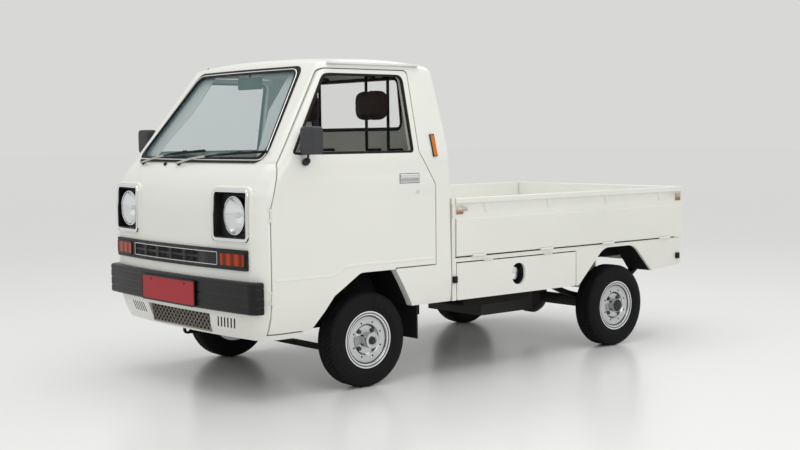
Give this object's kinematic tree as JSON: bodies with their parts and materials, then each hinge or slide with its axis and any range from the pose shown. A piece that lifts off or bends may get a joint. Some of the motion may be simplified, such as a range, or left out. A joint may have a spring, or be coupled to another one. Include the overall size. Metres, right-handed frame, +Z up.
{
  "type": "kei truck",
  "caption": "Small forward-control flat-bed truck with a two-door cab, drop-side load bed, steering and rolling wheels.",
  "frame": {"origin": "on the ground at the middle of the truck's overall box", "axes": "-Y forward, +X to the truck's left-hand side, +Z up"},
  "size_m": [1.634, 3.195, 1.6398],
  "materials": {
    "body_paint": "gloss enamel",
    "bed_paint": "gloss enamel, worn",
    "cabin_paint": "satin",
    "black_paint": "satin chassis black",
    "wheel_steel": "silver enamel",
    "charcoal_plastic": "grained",
    "black_plastic": "grained",
    "rubber": "matt",
    "tyre": "matt",
    "glass": "clear, lightly tinted",
    "lamp_glass": "fluted",
    "amber": "clear amber",
    "red_lamp": "clear red",
    "plate": "enamel, blank",
    "seat_cover": "vinyl",
    "steel": "bare, worn",
    "cast": "as cast, oily"
  },
  "bodies": {
    "chassis": {"amber_lamps": "amber", "bed_aprons": "bed_paint", "bed_floor": "bed_paint", "cab_back_panel": "body_paint", "cab_floor": "cabin_paint", "cab_front_panel": "body_paint", "cab_pillars": "body_paint", "cab_roof": "body_paint", "cabin_mirror": "black_plastic", "cross_beams": "black_paint", "dashboard": "black_plastic", "engine_block": "cast", "frame_rails": "black_paint", "front_bumper": "charcoal_plastic", "front_grilles": "black_plastic", "front_plate": "plate", "front_suspension": "black_paint", "fuel_filler": "black_plastic", "fuel_tank": "black_paint", "gate_stops": "rubber", "headboard": "bed_paint", "headlamp_bezels": "black_plastic", "headlamps": "lamp_glass", "headrest_bars": "black_paint", "headrests": "seat_cover", "hinges": "steel", "leaf_springs": "black_paint", "mudflaps": "rubber", "rear_axle": "cast", "rear_window": "glass", "seats": "seat_cover", "silencer": "steel", "steering_column": "black_plastic", "tail_lamps": "red_lamp", "tow_eyes": "black_paint", "wheelhouses": "black_paint", "windscreen": "glass", "windscreen_rubber": "rubber", "wipers": "black_plastic"},
    "door_left": {"door_left": "body_paint", "door_glass_left": "glass", "mirror_left": "black_plastic"},
    "door_right": {"door_right": "body_paint", "door_glass_right": "glass", "mirror_right": "black_plastic"},
    "side_gate_left": {"side_gate_left": "bed_paint"},
    "side_gate_right": {"side_gate_right": "bed_paint"},
    "tailgate": {"tailgate": "bed_paint"},
    "service_flap": {"service_flap": "body_paint"},
    "knuckle_left": {"knuckle_left": "cast"},
    "knuckle_right": {"knuckle_right": "cast"},
    "steering_wheel": {"steering_wheel": "black_plastic"},
    "wheel_front_left": {"wheel_front_left": "wheel_steel", "tyre_front_left": "tyre"},
    "wheel_front_right": {"wheel_front_right": "wheel_steel", "tyre_front_right": "tyre"},
    "wheel_rear_left": {"wheel_rear_left": "wheel_steel", "tyre_rear_left": "tyre"},
    "wheel_rear_right": {"wheel_rear_right": "wheel_steel", "tyre_rear_right": "tyre"}
  },
  "joints": [
    {"name": "door_left_hinge", "type": "hinge", "parent": "chassis", "child": "door_left", "pos_m": [0.696, -1.449, 0.69], "axis": [0, 0, -1], "range_deg": [0, 65]},
    {"name": "door_right_hinge", "type": "hinge", "parent": "chassis", "child": "door_right", "pos_m": [-0.696, -1.449, 0.69], "axis": [0, 0, 1], "range_deg": [0, 65]},
    {"name": "side_gate_left_hinge", "type": "hinge", "parent": "chassis", "child": "side_gate_left", "pos_m": [0.6975, 0.6, 0.61], "axis": [0, 1, 0], "range_deg": [0, 175]},
    {"name": "side_gate_right_hinge", "type": "hinge", "parent": "chassis", "child": "side_gate_right", "pos_m": [-0.6975, 0.6, 0.61], "axis": [0, -1, 0], "range_deg": [0, 175]},
    {"name": "tailgate_hinge", "type": "hinge", "parent": "chassis", "child": "tailgate", "pos_m": [0, 1.5905, 0.61], "axis": [-1, 0, 0], "range_deg": [0, 175]},
    {"name": "service_flap_hinge", "type": "hinge", "parent": "chassis", "child": "service_flap", "pos_m": [0.692, 0.17, 0.58], "axis": [0, 1, 0], "range_deg": [-75, 0]},
    {"name": "steer_left", "type": "hinge", "parent": "chassis", "child": "knuckle_left", "pos_m": [0.56, -0.856, 0.237], "axis": [0, 0, 1], "range_deg": [-35, 35]},
    {"name": "steer_right", "type": "hinge", "parent": "chassis", "child": "knuckle_right", "pos_m": [-0.56, -0.856, 0.237], "axis": [0, 0, 1], "range_deg": [-35, 35]},
    {"name": "steering_wheel_turn", "type": "hinge", "parent": "chassis", "child": "steering_wheel", "pos_m": [-0.37, -1.1305, 1.085], "axis": [0, 0.3605, 0.9328], "range_deg": [-560, 560]},
    {"name": "wheel_front_left_spin", "type": "hinge", "parent": "knuckle_left", "child": "wheel_front_left", "pos_m": [0.6, -0.856, 0.237], "axis": [1, 0, 0], "continuous": true},
    {"name": "wheel_front_right_spin", "type": "hinge", "parent": "knuckle_right", "child": "wheel_front_right", "pos_m": [-0.6, -0.856, 0.237], "axis": [1, 0, 0], "continuous": true},
    {"name": "wheel_rear_left_spin", "type": "hinge", "parent": "chassis", "child": "wheel_rear_left", "pos_m": [0.6, 0.989, 0.237], "axis": [1, 0, 0], "continuous": true},
    {"name": "wheel_rear_right_spin", "type": "hinge", "parent": "chassis", "child": "wheel_rear_right", "pos_m": [-0.6, 0.989, 0.237], "axis": [1, 0, 0], "continuous": true}
  ],
  "couplings": [
    {"joint": "steer_right", "follows": "steer_left", "ratio": 1},
    {"joint": "steering_wheel_turn", "follows": "steer_left", "ratio": 16}
  ]
}
